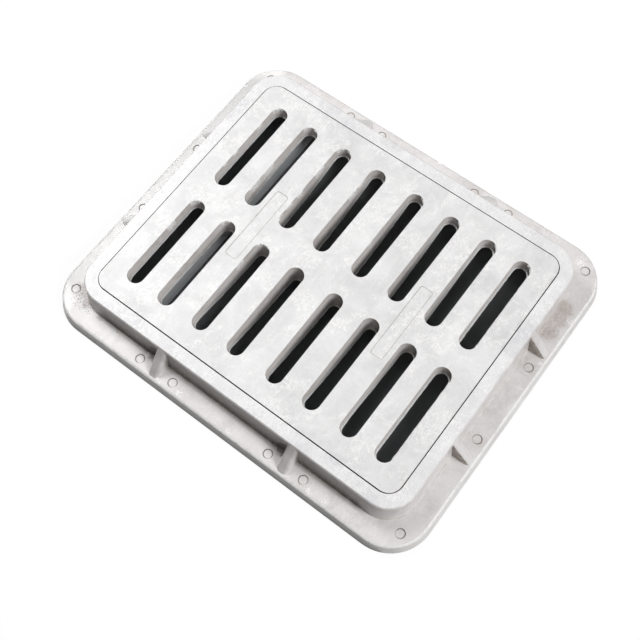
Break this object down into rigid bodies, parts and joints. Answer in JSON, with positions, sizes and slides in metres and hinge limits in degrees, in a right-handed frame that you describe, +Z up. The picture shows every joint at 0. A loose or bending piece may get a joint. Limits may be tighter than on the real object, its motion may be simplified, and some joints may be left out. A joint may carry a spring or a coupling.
{
  "type": "gully grate",
  "caption": "Moulded composite gully grate with round-ended drainage slots, resting flush in a rimmed frame with a wide ground flange and leaning gussets.",
  "frame": {"origin": "centre of the clear opening, on the underside of the flange", "axes": "+X along the long side, across the slots; +Y along the slots; +Z up, out of the road"},
  "size_m": [0.614, 0.5142, 0.0575],
  "materials": {
    "frame_composite": "light grey compression-moulded glass-fibre composite, satin, faintly clouded",
    "grate_composite": "light grey compression-moulded glass-fibre composite, satin, scuffed"
  },
  "bodies": {
    "root": {"frame": "frame_composite", "grate": "grate_composite"}
  },
  "joints": []
}
